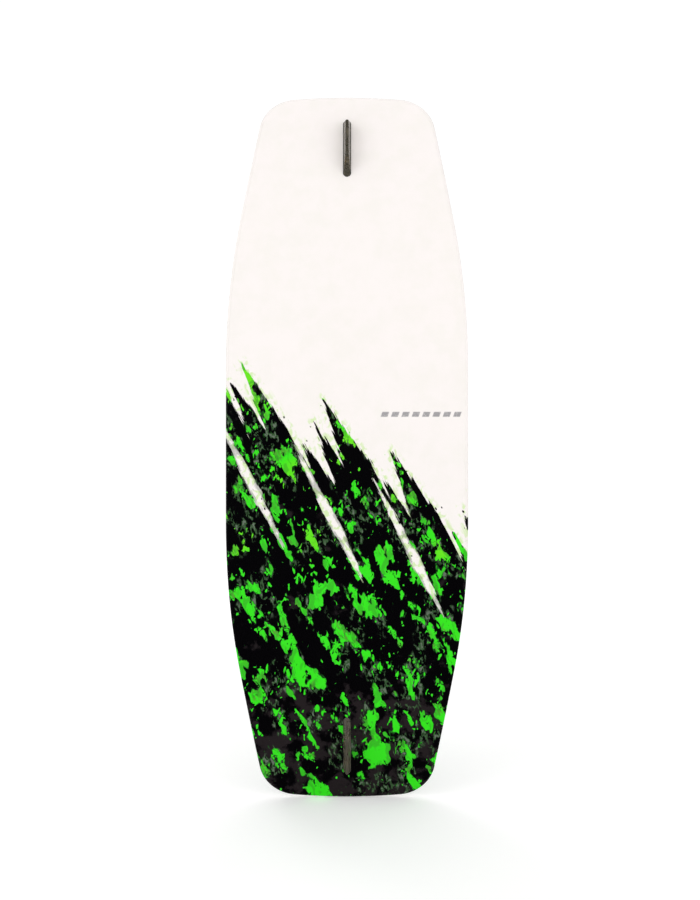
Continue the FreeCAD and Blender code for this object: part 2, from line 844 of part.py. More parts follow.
fin_whole = cut("fin_whole", fin_blade(), round_base("base_and_gasket", dims.gasket_thickness))
fin_master = cut("fin_master", fin_whole, copies(nut_seat, "nut_seats", SCREW_PLACES))
gasket_sheet = cut(
    "gasket_sheet",
    common("gasket_whole", gasket_body, round_base("gasket_face", dims.gasket_thickness)),
    round_base("base_face", ZERO),
)
gasket_master = cut("gasket_master", gasket_sheet, copies(screw_hole, "gasket_holes", SCREW_PLACES))
doc.recompute()

fin_nodes = []
fin_holes = []
for foot, frame in FIN_FRAMES.items():
    both = [frame.multiply(where) for where in SCREW_PLACES]
    fin_nodes += [
        copies(fin_master, f"{foot}_fin", [frame]),
        copies(gasket_master, f"{foot}_fin_gasket", [frame]),
        copies(nut, f"{foot}_fin_nuts", both),
        copies(screw_master, f"{foot}_fin_screws", both),
        copies(washer, f"{foot}_fin_washers", both),
        copies(sleeve, f"{foot}_fin_sleeves", both),
    ]
    fin_holes += both
screw_holes = copies(screw_hole, "screw_holes", fin_holes)

# ---------------------------------------------------------------- holes in the layers

base_sheet = cut("base_sheet", base_sheet_whole, screw_holes)
bottom_laminate = cut("bottom_laminate", bottom_laminate_whole, screw_holes)
top_laminate_seated = cut("top_laminate_seated", top_laminate_whole, insert_spaces)
top_laminate = cut("top_laminate", top_laminate_seated, screw_holes)
top_sheet_seated = cut("top_sheet_seated", top_sheet_whole, insert_spaces)
top_sheet = cut("top_sheet", top_sheet_seated, screw_holes)
core_pocketed = cut("core_pocketed", core_space, group("block_spaces", block_blanks))
foam_core = cut("foam_core", core_pocketed, screw_holes)

NODES = [
    base_sheet,
    bottom_laminate,
    foam_core,
    top_laminate,
    top_sheet,
    sidewall_rail,
    *insert_blocks,
    *inserts.values(),
    *fin_nodes,
]

doc.recompute()

os.makedirs("parts", exist_ok=True)
for item in doc.Objects:
    if {"Invalid", "Error"} & set(item.State):
        raise RuntimeError(f"{item.Label} did not compute: {item.State}")
for node in NODES:
    node.Label = node.Name
    if node.Shape.isNull() or not node.Shape.isValid() or not node.Shape.Solids:
        raise RuntimeError(f"{node.Label} has no valid solid")
for node in NODES:
    node.Shape.exportStep(f"parts/{node.Label}.step")
    print(f"{node.Label:32s} solids {len(node.Shape.Solids)}  {node.Shape.Volume / 1000:9.3f} cm3")
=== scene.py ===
"""A twin-tip wakeboard: its printed skins, rail and finishes, built round the CAD frame.

Plan positions and board sizes are in millimetres and become metres as each mesh is made.
X runs across the board, Z runs to the nose, and -Y is the side of the printed base.
"""

import json
import math

import bpy
import numpy as np
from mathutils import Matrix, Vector
from mathutils.geometry import delaunay_2d_cdt


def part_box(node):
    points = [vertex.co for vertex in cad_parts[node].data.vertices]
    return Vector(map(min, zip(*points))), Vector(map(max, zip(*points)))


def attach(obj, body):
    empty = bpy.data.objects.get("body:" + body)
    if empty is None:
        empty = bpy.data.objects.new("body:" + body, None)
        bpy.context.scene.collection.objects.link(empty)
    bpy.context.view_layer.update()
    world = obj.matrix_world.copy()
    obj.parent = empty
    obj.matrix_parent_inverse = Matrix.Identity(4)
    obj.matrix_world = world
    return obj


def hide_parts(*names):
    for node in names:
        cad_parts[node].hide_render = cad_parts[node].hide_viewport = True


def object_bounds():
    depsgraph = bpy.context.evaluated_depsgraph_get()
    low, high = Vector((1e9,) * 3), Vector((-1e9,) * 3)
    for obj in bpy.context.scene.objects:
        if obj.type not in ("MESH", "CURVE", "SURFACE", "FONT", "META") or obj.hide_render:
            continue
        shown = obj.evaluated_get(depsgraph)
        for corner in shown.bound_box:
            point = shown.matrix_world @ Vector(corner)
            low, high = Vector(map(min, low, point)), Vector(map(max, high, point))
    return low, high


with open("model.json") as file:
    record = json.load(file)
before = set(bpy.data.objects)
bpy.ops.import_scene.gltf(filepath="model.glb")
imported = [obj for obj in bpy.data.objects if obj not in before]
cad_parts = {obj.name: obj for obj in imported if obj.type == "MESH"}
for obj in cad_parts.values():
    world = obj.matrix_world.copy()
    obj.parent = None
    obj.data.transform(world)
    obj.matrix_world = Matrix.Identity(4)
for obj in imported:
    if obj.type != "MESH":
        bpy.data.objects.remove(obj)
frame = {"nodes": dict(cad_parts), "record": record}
cad_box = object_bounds()

MM = 0.001

# ---------------------------------------------------------------- the board's own sizes

HALF_LENGTH = round(cad_box[1][2] / MM, 1)
HALF_WIDTH = round(cad_box[1][0] / MM, 1)
BASE_Y = round(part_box("base_sheet")[0].y / MM, 1)
STRAIGHT_HALF = 140.0  # half of the straight length of each rail
SIDE_RADIUS = 1600.0
CORNER_RADIUS = 72.0
CORNER_OFFSET = 95.0  # centre line to the centre of a corner's arc
TIP_RADIUS = 1130.0
FLAT_HALF = 200.0  # half of the flat length of the base
ROCKER_RADIUS = 1812.0
CENTRE_THICKNESS = 26.0
RAIL_HEIGHT = 13.0
SHOULDER_WIDTH = 66.0
THICKNESS_POWER = 2.2
SHEET = 0.6  # thickness of the printed sheets
RAIL_WIDTH = 12.0  # outline to the edge of the top sheet
SHEET_INSET = 5.5  # outline to the edge of the base sheet
BASE_EDGE_RADIUS = 4.0
DECK_EDGE_RADIUS = 5.0
SEAM = 0.25  # broken edge of the rail beside each sheet
BASE_PRINT_ENDS = 3.0, 3.3  # heights on the rail over which the base's print gives out
DECK_PRINT_STARTS = 10.6, 10.9

STANCE_HALF = 290.0  # origin to the centre of each foot's inserts
ROW_OFFSET = 76.2
INSERT_PITCH = 25.4
INSERTS_PER_ROW = 6
INSERT_HOLE = 8.0  # radius of the hole in the deck over each insert

MESH_STEP = 4.0  # distance between the points of a skin
HOLE_SIDES = 40
CORNER_STEPS = 7  # points on each rounded edge of the rail
SLIVER_AREA = 0.01  # triangles smaller than this only join points in line along the rim
SHARP_EDGE = math.radians(35)


def layer_y(z, depth=0.0):
    """Y of the rocker line, moved depth towards the deck, at z."""
    past = np.maximum(np.abs(z) - FLAT_HALF, 0.0)
    radius = ROCKER_RADIUS - depth
    return BASE_Y + depth + radius - np.sqrt(radius**2 - past**2)


def outline_centres():
    """Side arc's centre, corner arc's centre, tip arc's centre and the angle of the taper."""
    side = np.array((HALF_WIDTH - SIDE_RADIUS, STRAIGHT_HALF))
    tip = np.array((0.0, HALF_LENGTH - TIP_RADIUS))
    reach = TIP_RADIUS - CORNER_RADIUS
    corner = np.array((CORNER_OFFSET, tip[1] + math.sqrt(reach**2 - CORNER_OFFSET**2)))
    across, along = corner - side
    between = math.hypot(across, along)
    taper = math.atan2(along, across) - math.acos((SIDE_RADIUS - CORNER_RADIUS) / between)
    return side, corner, tip, taper


def arc_points(centre, radius, start, end, step):
    """Points of an arc and the outward directions there, without its last point."""
    count = max(int(abs(end - start) * radius / step), 2)
    angles = np.linspace(start, end, count, endpoint=False)
    out = np.stack([np.cos(angles), np.sin(angles)], 1)
    return centre + radius * out, out


def outline(step):
    """The plan outline, one turn anticlockwise from the heel rail, with outward directions."""
    side, corner, tip, taper = outline_centres()
    to_tip = math.atan2(corner[1] - tip[1], corner[0] - tip[0])
    count = int(2 * STRAIGHT_HALF / step)
    rail_z = np.linspace(-STRAIGHT_HALF, STRAIGHT_HALF, count, endpoint=False)
    rail = np.stack([np.full(count, HALF_WIDTH), rail_z], 1)
    runs = [(rail, np.tile((1.0, 0.0), (count, 1)))]
    runs.append(arc_points(side, SIDE_RADIUS, 0.0, taper, step))
    out = np.array((math.cos(taper), math.sin(taper)))
    start, end = side + SIDE_RADIUS * out, corner + CORNER_RADIUS * out
    count = int(np.hypot(*(end - start)) / step)
    straight = start + (end - start) * np.linspace(0, 1, count, endpoint=False)[:, None]
    runs.append((straight, np.tile(out, (count, 1))))
    runs.append(arc_points(corner, CORNER_RADIUS, taper, to_tip, step / 2))
    runs.append(arc_points(tip, TIP_RADIUS, to_tip, math.pi / 2, step))
    points = np.concatenate([run[0] for run in runs])
    outward = np.concatenate([run[1] for run in runs])
    # the other side of the nose is the mirror image, and the tail is the nose turned round
    mirror = np.array((-1.0, 1.0))
    nose = STRAIGHT_HALF - points[:, 1] < 1e-6
    points = np.concatenate([points, [tip + (0, TIP_RADIUS)], (points[nose] * mirror)[::-1]])
    outward = np.concatenate([outward, [(0.0, 1.0)], (outward[nose] * mirror)[::-1]])
    return np.concatenate([points[:-1], -points[:-1]]), np.concatenate([outward[:-1], -outward[:-1]])


def rail_distance(z):
    """Half-width of the board at z, without the tips' corners."""
    _, _, _, taper = outline_centres()
    past = np.maximum(np.abs(z) - STRAIGHT_HALF, 0.0)
    turn = np.minimum(np.arcsin(np.minimum(past / SIDE_RADIUS, 1.0)), taper)
    drop = SIDE_RADIUS * (1 - np.cos(turn)) + (past - SIDE_RADIUS * np.sin(turn)) * np.tan(turn)
    return HALF_WIDTH - drop


def deck_y(x, z):
    """Y of the deck: a plateau with smooth shoulders down to the rail ring."""
    tip_share = np.minimum(np.abs(z) / HALF_LENGTH, 1.0) ** THICKNESS_POWER
    rise = (CENTRE_THICKNESS - RAIL_HEIGHT) * (1 - tip_share)
    inside = rail_distance(z) - RAIL_WIDTH - np.abs(x)
    share = np.clip(inside / SHOULDER_WIDTH, 0.0, 1.0)
    return layer_y(z, RAIL_HEIGHT) + rise * share**2 * (3 - 2 * share)


# ---------------------------------------------------------------- the printed artwork

# A plain fade of side-by-side brush strokes that run off the tail. Both faces have it, with
# opposite slants.
BASE_LEAN = 27  # degrees that the strokes lean from the board's length
DECK_LEAN = -37
STROKE_PITCH = 34.0
STROKE_HALF_WIDTHS = 26.0, 20.0, 24.0, 19.0  # taken in turn
STROKE_SETBACKS = 0.0, 115.0, 35.0, 165.0, 80.0  # taken in turn: front to a stroke's start
STROKE_TAPER = 140.0  # length of a stroke's pointed start
POINT_HALF_WIDTH = 1.0  # of strokes and slits, where they start and end
FRONT_SLOPE = 0.6  # how far the front falls towards the tail for each millimetre across
FRONT_LEVEL = 60.0  # where the front crosses the centre line
SLIT_EVERY = 3  # strokes from one bare slit to the next
SLIT_DELAY = 170.0  # start of a stroke to the start of the slit beside it
SLIT_LENGTH = 290.0
SLIT_HALF_WIDTH = 10.0
SLIT_WIDEST = 0.6  # share of a slit's length to its widest point

FAR = -1000.0  # signed distance where nothing is near


def brushwork(lean):
    """Strokes and bare slits of one face, as runs of (x, z, half-width)."""
    sine, cosine = math.sin(math.radians(abs(lean))), math.cos(math.radians(lean))
    side = math.copysign(1.0, lean)
    past_tail = 2 * HALF_LENGTH

    def run(beside, *stops):
        """Stops of (distance towards the tail, half-width) on a line beside the middle stroke."""
        return [
            (side * (beside * cosine + along * sine), beside * sine - along * cosine, half_width)
            for along, half_width in stops
        ]

    strokes, slits = [], []
    count = int(HALF_LENGTH / STROKE_PITCH)
    for i in range(-count, count + 1):
        beside = i * STROKE_PITCH
        # where this stroke's line meets the front of the fade
        front = beside * (sine + FRONT_SLOPE * cosine) - FRONT_LEVEL
        front /= cosine - FRONT_SLOPE * sine
        start = front + STROKE_SETBACKS[i % len(STROKE_SETBACKS)]
        shoulder = start + STROKE_TAPER
        if shoulder > past_tail:
            continue
        width = STROKE_HALF_WIDTHS[i % len(STROKE_HALF_WIDTHS)]
        strokes.append(
            run(beside, (start, POINT_HALF_WIDTH), (shoulder, width), (past_tail, width))
        )
        if i % SLIT_EVERY == 0:
            first = start + SLIT_DELAY
            widest = first + SLIT_LENGTH * SLIT_WIDEST
            last = first + SLIT_LENGTH
            slits.append(
                run(beside + STROKE_PITCH / 2, (first, POINT_HALF_WIDTH),
                    (widest, SLIT_HALF_WIDTH), (last, POINT_HALF_WIDTH))
            )
    return strokes, slits


def stroke_distance(x, z, path):
    """Signed distance to a brush stroke: positive inside."""
    best = np.full(x.shape, FAR)
    for (x0, z0, w0), (x1, z1, w1) in zip(path, path[1:]):
        across, along = x1 - x0, z1 - z0
        share = ((x - x0) * across + (z - z0) * along) / (across**2 + along**2)
        share = np.clip(share, 0.0, 1.0)
        distance = np.hypot(x - x0 - share * across, z - z0 - share * along)
        best = np.maximum(best, w0 + share * (w1 - w0) - distance)
    return best


def area_distance(x, z, corners):
    """Signed distance to a polygon: positive inside."""
    nearest = np.full(x.shape, -FAR)
    inside = np.zeros(x.shape, bool)
    for (x0, z0), (x1, z1) in zip(corners, corners[1:] + corners[:1]):
        nearest = np.minimum(nearest, -stroke_distance(x, z, [(x0, z0, 0), (x1, z1, 0)]))
        if z0 == z1:
            continue
        between = (z < z0) != (z < z1)
        inside ^= between & (x < x0 + (x1 - x0) * (z - z0) / (z1 - z0))
    return np.where(inside, nearest, -nearest)


def nearest_stroke(x, z, paths):
    """Signed distance to whichever stroke is nearest or holds the point deepest."""
    return np.max([stroke_distance(x, z, path) for path in paths], axis=0)


def artwork(x, z, lean):
    """Signed distances, in millimetres, that a face's print is drawn from."""
    strokes, slits = brushwork(lean)
    return {"ink": nearest_stroke(x, z, strokes), "slit": nearest_stroke(x, z, slits)}


# ---------------------------------------------------------------- meshes


def mesh_object(name, points, faces, attributes):
    """A smooth-shaded mesh from points in millimetres, with named values at its points."""
    mesh = bpy.data.meshes.new(name)
    mesh.from_pydata((points * MM).tolist(), [], faces)
    mesh.validate()
    for key, values in attributes.items():
        layer = mesh.attributes.new(key, "FLOAT", "POINT")
        layer.data.foreach_set("value", values.astype(np.float32))
    mesh.shade_smooth()
    mesh.set_sharp_from_angle(angle=SHARP_EDGE)
    piece = bpy.data.objects.new(name, mesh)
    bpy.context.scene.collection.objects.link(piece)
    return piece


def circle(centre, radius):
    """Corners of a hole's polygon."""
    angles = np.arange(HOLE_SIDES) * 2 * math.pi / HOLE_SIDES
    return np.array(centre) + radius * np.stack([np.cos(angles), np.sin(angles)], 1)


def triangular_grid(step):
    """Points of equal triangles over the board's plan."""
    columns = np.arange(-HALF_WIDTH, HALF_WIDTH, step)
    rows = np.arange(-HALF_LENGTH, HALF_LENGTH, step * math.sqrt(3) / 2)
    grid_x, grid_z = np.meshgrid(columns, rows)
    grid_x = grid_x + (np.arange(len(rows)) % 2 * step / 2)[:, None]
    return np.stack([grid_x.ravel(), grid_z.ravel()], 1)


def fill_plan(rim, holes, step):
    """Even triangles that fill a rim round its holes: points, triangles and loop sizes."""
    loops = [rim] + [circle(centre, radius) for centre, radius in holes]
    rim_corners = [tuple(corner) for corner in rim]
    grid = triangular_grid(step)
    grid = grid[area_distance(grid[:, 0], grid[:, 1], rim_corners) > step * 0.6]
    for centre, radius in holes:
        grid = grid[np.hypot(*(grid - centre).T) > radius + step * 0.5]
    edges, start = [], 0
    for loop in loops:
        count = len(loop)
        edges += [(start + i, start + (i + 1) % count) for i in range(count)]
        start += count
    plan = [Vector(point) for point in np.concatenate(loops + [grid])]
    points, _, triangles = delaunay_2d_cdt(plan, edges, [], 0, 1e-6)[:3]
    flat = np.array([tuple(point) for point in points])
    triangles = np.array(triangles)

    # drop the slivers along the rim and whatever fills a hole
    corners = flat[triangles]
    middles = corners.mean(1)
    first, second = corners[:, 1] - corners[:, 0], corners[:, 2] - corners[:, 0]
    area = np.abs(first[:, 0] * second[:, 1] - first[:, 1] * second[:, 0]) / 2
    keep = area_distance(middles[:, 0], middles[:, 1], rim_corners) > 0
    keep &= area > SLIVER_AREA
    for centre, radius in holes:
        keep &= np.hypot(*(middles - centre).T) > radius * math.cos(math.pi / HOLE_SIDES)
    return flat, triangles[keep], [len(loop) for loop in loops]


def skin(name, rim, holes, outside_y, inside_y, lean):
    """A thin closed sheet between two heights, with its print's distances at its points."""
    flat, triangles, loop_sizes = fill_plan(rim, holes, MESH_STEP)
    x, z = flat[:, 0], flat[:, 1]
    count = len(flat)
    outside = np.stack([x, outside_y(x, z), z], 1)
    inside = np.stack([x, inside_y(x, z), z], 1)
    # the triangles face the base, so a sheet that faces the deck has them turned over
    faces_deck = outside_y(x, z).mean() > inside_y(x, z).mean()
    outward = triangles[:, ::-1] if faces_deck else triangles
    faces = outward.tolist() + (outward[:, ::-1] + count).tolist()
    start = 0
    for size in loop_sizes:
        is_rim = start == 0
        for corner in range(size):
            a, b = start + corner, start + (corner + 1) % size
            if is_rim == faces_deck:
                a, b = b, a
            faces.append((a, a + count, b + count, b))
        start += size
    art = {key: np.tile(values, 2) for key, values in artwork(x, z, lean).items()}
    return mesh_object(name, np.concatenate([outside, inside]), faces, art)


def rail_profile():
    """The rail's section as (inset from the outline, height above the base), closed."""
    def rounded(centre, radius, start, end):
        angles = np.linspace(math.radians(start), math.radians(end), CORNER_STEPS)
        return [(centre[0] - radius * math.cos(a), centre[1] + radius * math.sin(a)) for a in angles]

    return np.array([
        (RAIL_WIDTH, SHEET),
        (SHEET_INSET, SHEET),
        (SHEET_INSET, SEAM),
        (SHEET_INSET - SEAM, 0.0),
        *rounded((BASE_EDGE_RADIUS, BASE_EDGE_RADIUS), BASE_EDGE_RADIUS, -90, 0),
        *rounded((DECK_EDGE_RADIUS, RAIL_HEIGHT - DECK_EDGE_RADIUS), DECK_EDGE_RADIUS, 0, 90),
        ((DECK_EDGE_RADIUS + RAIL_WIDTH) / 2, RAIL_HEIGHT),
        (RAIL_WIDTH - SEAM, RAIL_HEIGHT),
        (RAIL_WIDTH, RAIL_HEIGHT - SEAM),
    ])


def rail():
    """The sidewall ring, swept round the outline and along the rocker."""
    points, outward = outline(MESH_STEP)
    profile = rail_profile()
    stations, corners = len(points), len(profile)
    plan = points[:, None, :] - outward[:, None, :] * profile[None, :, 0, None]
    height = np.broadcast_to(profile[:, 1], (stations, corners))
    x, z = plan[..., 0].ravel(), plan[..., 1].ravel()
    height = height.ravel()
    vertices = np.stack([x, layer_y(z, height), z], 1)
    faces = []
    for station in range(stations):
        here, there = station * corners, (station + 1) % stations * corners
        for corner in range(corners):
            following = (corner + 1) % corners
            faces.append((here + following, there + following, there + corner, here + corner))
    base, deck = artwork(x, z, BASE_LEAN), artwork(x, z, DECK_LEAN)
    on_base = height < RAIL_HEIGHT / 2
    art = {key: np.where(on_base, base[key], deck[key]) for key in base}
    art["height"] = height
    return mesh_object("rail", vertices, faces, art)


# ---------------------------------------------------------------- shader helpers


class Graph:
    """A short way to write one material's nodes."""

    def __init__(self, name):
        self.material = bpy.data.materials.new(name)
        self.material.use_nodes = True
        self.tree = self.material.node_tree
        self.tree.nodes.clear()
        self.where = self.add("ShaderNodeTexCoord").outputs["Object"]

    def add(self, kind, **settings):
        node = self.tree.nodes.new(kind)
        for key, value in settings.items():
            setattr(node, key, value)
        return node

    def feed(self, socket, value):
        if isinstance(value, bpy.types.NodeSocket):
            self.tree.links.new(value, socket)
        else:
            socket.default_value = value

    def math(self, operation, *values):
        node = self.add("ShaderNodeMath", operation=operation)
        for socket, value in zip(node.inputs, values):
            self.feed(socket, value)
        return node.outputs[0]

    def step(self, value, low, high, start=0.0, end=1.0):
        """Runs smoothly from start to end as value runs from low to high."""
        node = self.add("ShaderNodeMapRange", interpolation_type="SMOOTHSTEP")
        for socket, number in zip(node.inputs, (value, low, high, start, end)):
            self.feed(socket, number)
        return node.outputs["Result"]

    def attribute(self, name):
        return self.add("ShaderNodeAttribute", attribute_name=name).outputs["Fac"]

    def coordinate(self, axis):
        """X, Y or Z of the point, in metres."""
        node = self.add("ShaderNodeSeparateXYZ")
        self.feed(node.inputs[0], self.where)
        return node.outputs[axis]

    def scaled(self, vector, scale, turn=(0, 0, 0), shift=(0, 0, 0)):
        node = self.add("ShaderNodeMapping", vector_type="POINT")
        self.feed(node.inputs["Vector"], vector)
        node.inputs["Rotation"].default_value = [math.radians(angle) for angle in turn]
        node.inputs["Scale"].default_value = scale
        node.inputs["Location"].default_value = shift
        return node.outputs["Vector"]

    def along_strokes(self, across_mm, along_mm, lean):
        """Coordinates stretched along the brush direction, which leans from the Z axis."""
        turned = self.scaled(self.where, (1, 1, 1), turn=(0, lean, 0))
        across, along = 1 / (across_mm * MM), 1 / (along_mm * MM)
        return self.scaled(turned, (across, across, along))

    def noise(self, vector, detail=3.0, roughness=0.55, distortion=0.0):
        node = self.add("ShaderNodeTexNoise")
        self.feed(node.inputs["Vector"], vector)
        node.inputs["Scale"].default_value = 1.0
        node.inputs["Detail"].default_value = detail
        node.inputs["Roughness"].default_value = roughness
        node.inputs["Distortion"].default_value = distortion
        return node.outputs["Fac"]

    def cells(self, vector):
        """Distance to the nearest of a scatter of points, one to a unit."""
        node = self.add("ShaderNodeTexVoronoi", feature="F1")
        self.feed(node.inputs["Vector"], vector)
        node.inputs["Scale"].default_value = 1.0
        return node.outputs["Distance"]

    def centred(self, noise, size):
        """A noise value moved to run about zero, size wide."""
        return self.math("MULTIPLY", self.math("SUBTRACT", noise, 0.5), size)

    def mix(self, share, first, second):
        node = self.add("ShaderNodeMix", data_type="RGBA")
        self.feed(node.inputs["Factor"], share)
        self.feed(node.inputs["A"], first)
        self.feed(node.inputs["B"], second)
        return node.outputs["Result"]

    def ramp(self, share, stops):
        node = self.add("ShaderNodeValToRGB")
        self.feed(node.inputs["Fac"], share)
        elements = node.color_ramp.elements
        while len(elements) < len(stops):
            elements.new(0.5)
        for element, (position, colour) in zip(elements, stops):
            element.position = position
            element.color = colour
        return node.outputs["Color"]

    def bump(self, height, distance_mm, under=None):
        node = self.add("ShaderNodeBump")
        node.inputs["Distance"].default_value = distance_mm * MM
        self.feed(node.inputs["Height"], height)
        if under is not None:
            self.feed(node.inputs["Normal"], under)
        return node.outputs["Normal"]

    def surface(self, **inputs):
        """The finished shader; an underscore in a name stands for a space."""
        shader = self.add("ShaderNodeBsdfPrincipled")
        for key, value in inputs.items():
            self.feed(shader.inputs[key.replace("_", " ")], value)
        output = self.add("ShaderNodeOutputMaterial")
        self.tree.links.new(shader.outputs[0], output.inputs["Surface"])
        return self.material


# linear colours of the print
WARM_WHITE = (0.930, 0.880, 0.860, 1)
CREAM = (0.905, 0.865, 0.830, 1)
INK = (0.0010, 0.0007, 0.0014, 1)
# brown for the black: print in random patches, and a painted reflection of the floor towards the tail
BROWN_INK_AND_REFLECTION = (0.0180, 0.0135, 0.0150, 1)
BOTTLE_GREEN = (0.010, 0.085, 0.010, 1)
LEAF_GREEN = (0.040, 0.330, 0.020, 1)
GREEN = (0.035, 0.780, 0.012, 1)
LIME = (0.140, 0.760, 0.012, 1)
OLIVE = (0.085, 0.380, 0.030, 1)
PALE_GREEN = (0.640, 0.820, 0.420, 1)
MOSS = (0.040, 0.095, 0.036, 1)
ASH = (0.130, 0.165, 0.125, 1)
PALE_GREY = (0.32, 0.31, 0.32, 1)

# linear colours of the bare materials
RAIL_WHITE, RAIL_SCUFF = (0.80, 0.78, 0.74, 1), (0.55, 0.54, 0.52, 1)
SMOKE_DARK, SMOKE_LIGHT = (0.35, 0.31, 0.22, 1), (0.54, 0.49, 0.38, 1)
RUBBER_DARK, RUBBER_LIGHT = (0.012, 0.012, 0.012, 1), (0.032, 0.031, 0.030, 1)
RESIN_DARK, RESIN_LIGHT = (0.42, 0.46, 0.36, 1), (0.62, 0.65, 0.55, 1)
FOAM_LIGHT, FOAM_DARK, FOAM_PATCH = (0.74, 0.66, 0.42, 1), (0.58, 0.50, 0.30, 1), (0.66, 0.56, 0.30, 1)
BLOCK_DARK, BLOCK_LIGHT = (0.028, 0.028, 0.030, 1), (0.050, 0.050, 0.053, 1)
FLOOR_DARK, FLOOR_LIGHT = (0.91, 0.91, 0.91, 1), (0.94, 0.94, 0.94, 1)


def green_zones(graph, lean):
    """Where the green gathers, in millimetres about zero: broad patches along the strokes."""
    zones = graph.noise(graph.along_strokes(24, 62, lean), detail=1.6)
    return graph.math("SUBTRACT", graph.centred(zones, 120), 11.0)


def green_pools(graph, lean, shape):
    """How far a point is inside the green, in millimetres: smooth pools, pulled and veined."""
    pulled = graph.scaled(graph.where, (62, 62, 34), turn=(0, lean, 0))
    swirl = graph.noise(pulled, detail=0.8, distortion=0.9)
    curls = graph.noise(graph.scaled(graph.where, (120, 120, 90)), detail=0.8, distortion=0.5)
    pool = graph.math("ADD", shape, graph.centred(swirl, 32))
    pool = graph.math("ADD", pool, graph.centred(curls, 13))

    # veins of black where the swirl passes one value
    crease = graph.math("ABSOLUTE", graph.math("SUBTRACT", swirl, 0.54))
    vein = graph.math("SUBTRACT", 1.0, graph.step(crease, 0.003, 0.014))
    pool = graph.math("SUBTRACT", graph.math("ADD", pool, 1.2), graph.math("MULTIPLY", vein, 7.0))

    # islands and threads of green around the pools, fewer far from them
    smaller = graph.scaled(pulled, (1.7, 1.7, 2.0), shift=(4, 1, 7))
    island = graph.noise(smaller, detail=1.5, distortion=0.6)
    island = graph.math("MULTIPLY", graph.math("SUBTRACT", island, 0.60), 80.0)
    island = graph.math("ADD", island, graph.step(shape, -20, -4, -8.0, 0.0))
    return graph.math("MAXIMUM", pool, island), swirl, curls


def green_shades(graph, lean, swirl, curls):
    """Yellower green towards the nose, clean green towards the tail, dull streaks in both."""
    tone = graph.noise(graph.scaled(graph.where, (9, 9, 9)), detail=2)
    tone = graph.math("ADD", tone, graph.math("MULTIPLY", graph.coordinate("Z"), 0.55))
    bright = graph.mix(graph.step(tone, 0.42, 0.58), GREEN, LIME)
    streaks = graph.noise(graph.along_strokes(4.5, 16, lean), detail=2, roughness=0.6)
    dull = graph.noise(graph.scaled(graph.where, (22, 22, 15), shift=(3, 0, 5)), detail=1)
    dullness = graph.math("MULTIPLY", graph.step(dull, 0.53, 0.62), graph.step(streaks, 0.44, 0.54))
    dull_green = graph.mix(graph.step(curls, 0.42, 0.56), LEAF_GREEN, OLIVE)
    shade = graph.mix(dullness, bright, dull_green)
    return graph.mix(graph.step(swirl, 0.58, 0.66, 0.0, 0.55), shade, LEAF_GREEN)


def flecked_black(graph, lean, drift, shape):
    """Black that turns brown in patches and more so towards the tail, where the brown is a painted
    reflection of the floor, with moss and ash flecks beside the green.
    """
    # brown follows the drift in patches and grows towards the tail as a painted reflection of the floor
    # in the gloss
    brown_and_painted_reflection = graph.step(graph.coordinate("Z"), -0.52, -0.38, 0.16, 0.0)
    brown_and_painted_reflection = graph.step(graph.math("ADD", drift, brown_and_painted_reflection), 0.60, 0.72)
    black = graph.mix(brown_and_painted_reflection, INK, BROWN_INK_AND_REFLECTION)
    flecks = graph.along_strokes(8, 14, lean * 0.4)
    flecks = graph.noise(flecks, detail=2.2, roughness=0.62, distortion=0.4)
    zones = graph.noise(graph.scaled(graph.where, (19, 19, 12), shift=(1, 0, 2)), detail=1)
    zones = graph.math("ADD", zones, graph.step(shape, -26, -4, 0.0, 0.10))
    zones = graph.step(zones, 0.56, 0.64)
    mossy = graph.math("MULTIPLY", graph.step(flecks, 0.52, 0.57), zones)
    ashen = graph.math("MULTIPLY", graph.step(flecks, 0.61, 0.65), zones)
    black = graph.mix(mossy, black, MOSS)
    return graph.mix(ashen, black, ASH)


def slit_edges(graph, short_streaks, drift):
    """How far a point is cleared of ink by a slit, and the grey rubbed into the slit's edges."""
    edge = graph.math("ADD", graph.centred(short_streaks, 8), graph.centred(drift, 9))
    depth = graph.math("ADD", graph.attribute("slit"), edge)
    to_middle = graph.math("SUBTRACT", graph.math("ADD", depth, graph.centred(drift, 18)), 1.0)
    rubbed = graph.step(to_middle, 0.0, 3.2, 0.5, 0.0)
    rubbed = graph.math("MULTIPLY", rubbed, graph.step(graph.attribute("slit"), -3, 0))
    return graph.step(depth, -0.5, 0.9), rubbed


def washed_paper(graph, long_streaks, drift, curls):
    """Warm white, with thin clouds of green where the brush ran dry."""
    paper = graph.mix(graph.step(drift, 0.35, 0.7), WARM_WHITE, CREAM)
    edge = graph.math("ADD", graph.attribute("ink"), graph.centred(long_streaks, 26))
    cloud = graph.step(curls, 0.48, 0.62, 0.0, 0.9)
    wash = graph.math("MULTIPLY", graph.step(edge, -14, -2), cloud)
    return graph.mix(wash, paper, PALE_GREEN)


def spatter(graph, lean, curls):
    """Ink left in the slits, thicker towards the tail."""
    marks = graph.noise(graph.along_strokes(5, 13, lean), detail=4, roughness=0.75)
    marks = graph.math("ADD", marks, graph.centred(curls, 0.25))
    thinning = graph.step(graph.coordinate("Z"), -0.66, -0.46, 0.0, 0.12)
    marks = graph.step(graph.math("SUBTRACT", marks, thinning), 0.58, 0.66, 0.0, 0.7)
    return graph.math("MULTIPLY", marks, graph.step(graph.attribute("slit"), -3, 1))


def droplets(graph, lean):
    """Drops thrown clear of the ink, larger beside it."""
    ink = graph.attribute("ink")
    size = graph.step(ink, -32, 0, 0.02, 0.20)
    drops = graph.math("LESS_THAN", graph.cells(graph.along_strokes(9, 16, lean)), size)
    sparse = graph.step(graph.noise(graph.scaled(graph.where, (60, 60, 60)), detail=1), 0.60, 0.64)
    near = graph.math("GREATER_THAN", ink, -30.0)
    return graph.math("MULTIPLY", graph.math("MULTIPLY", drops, sparse), near)


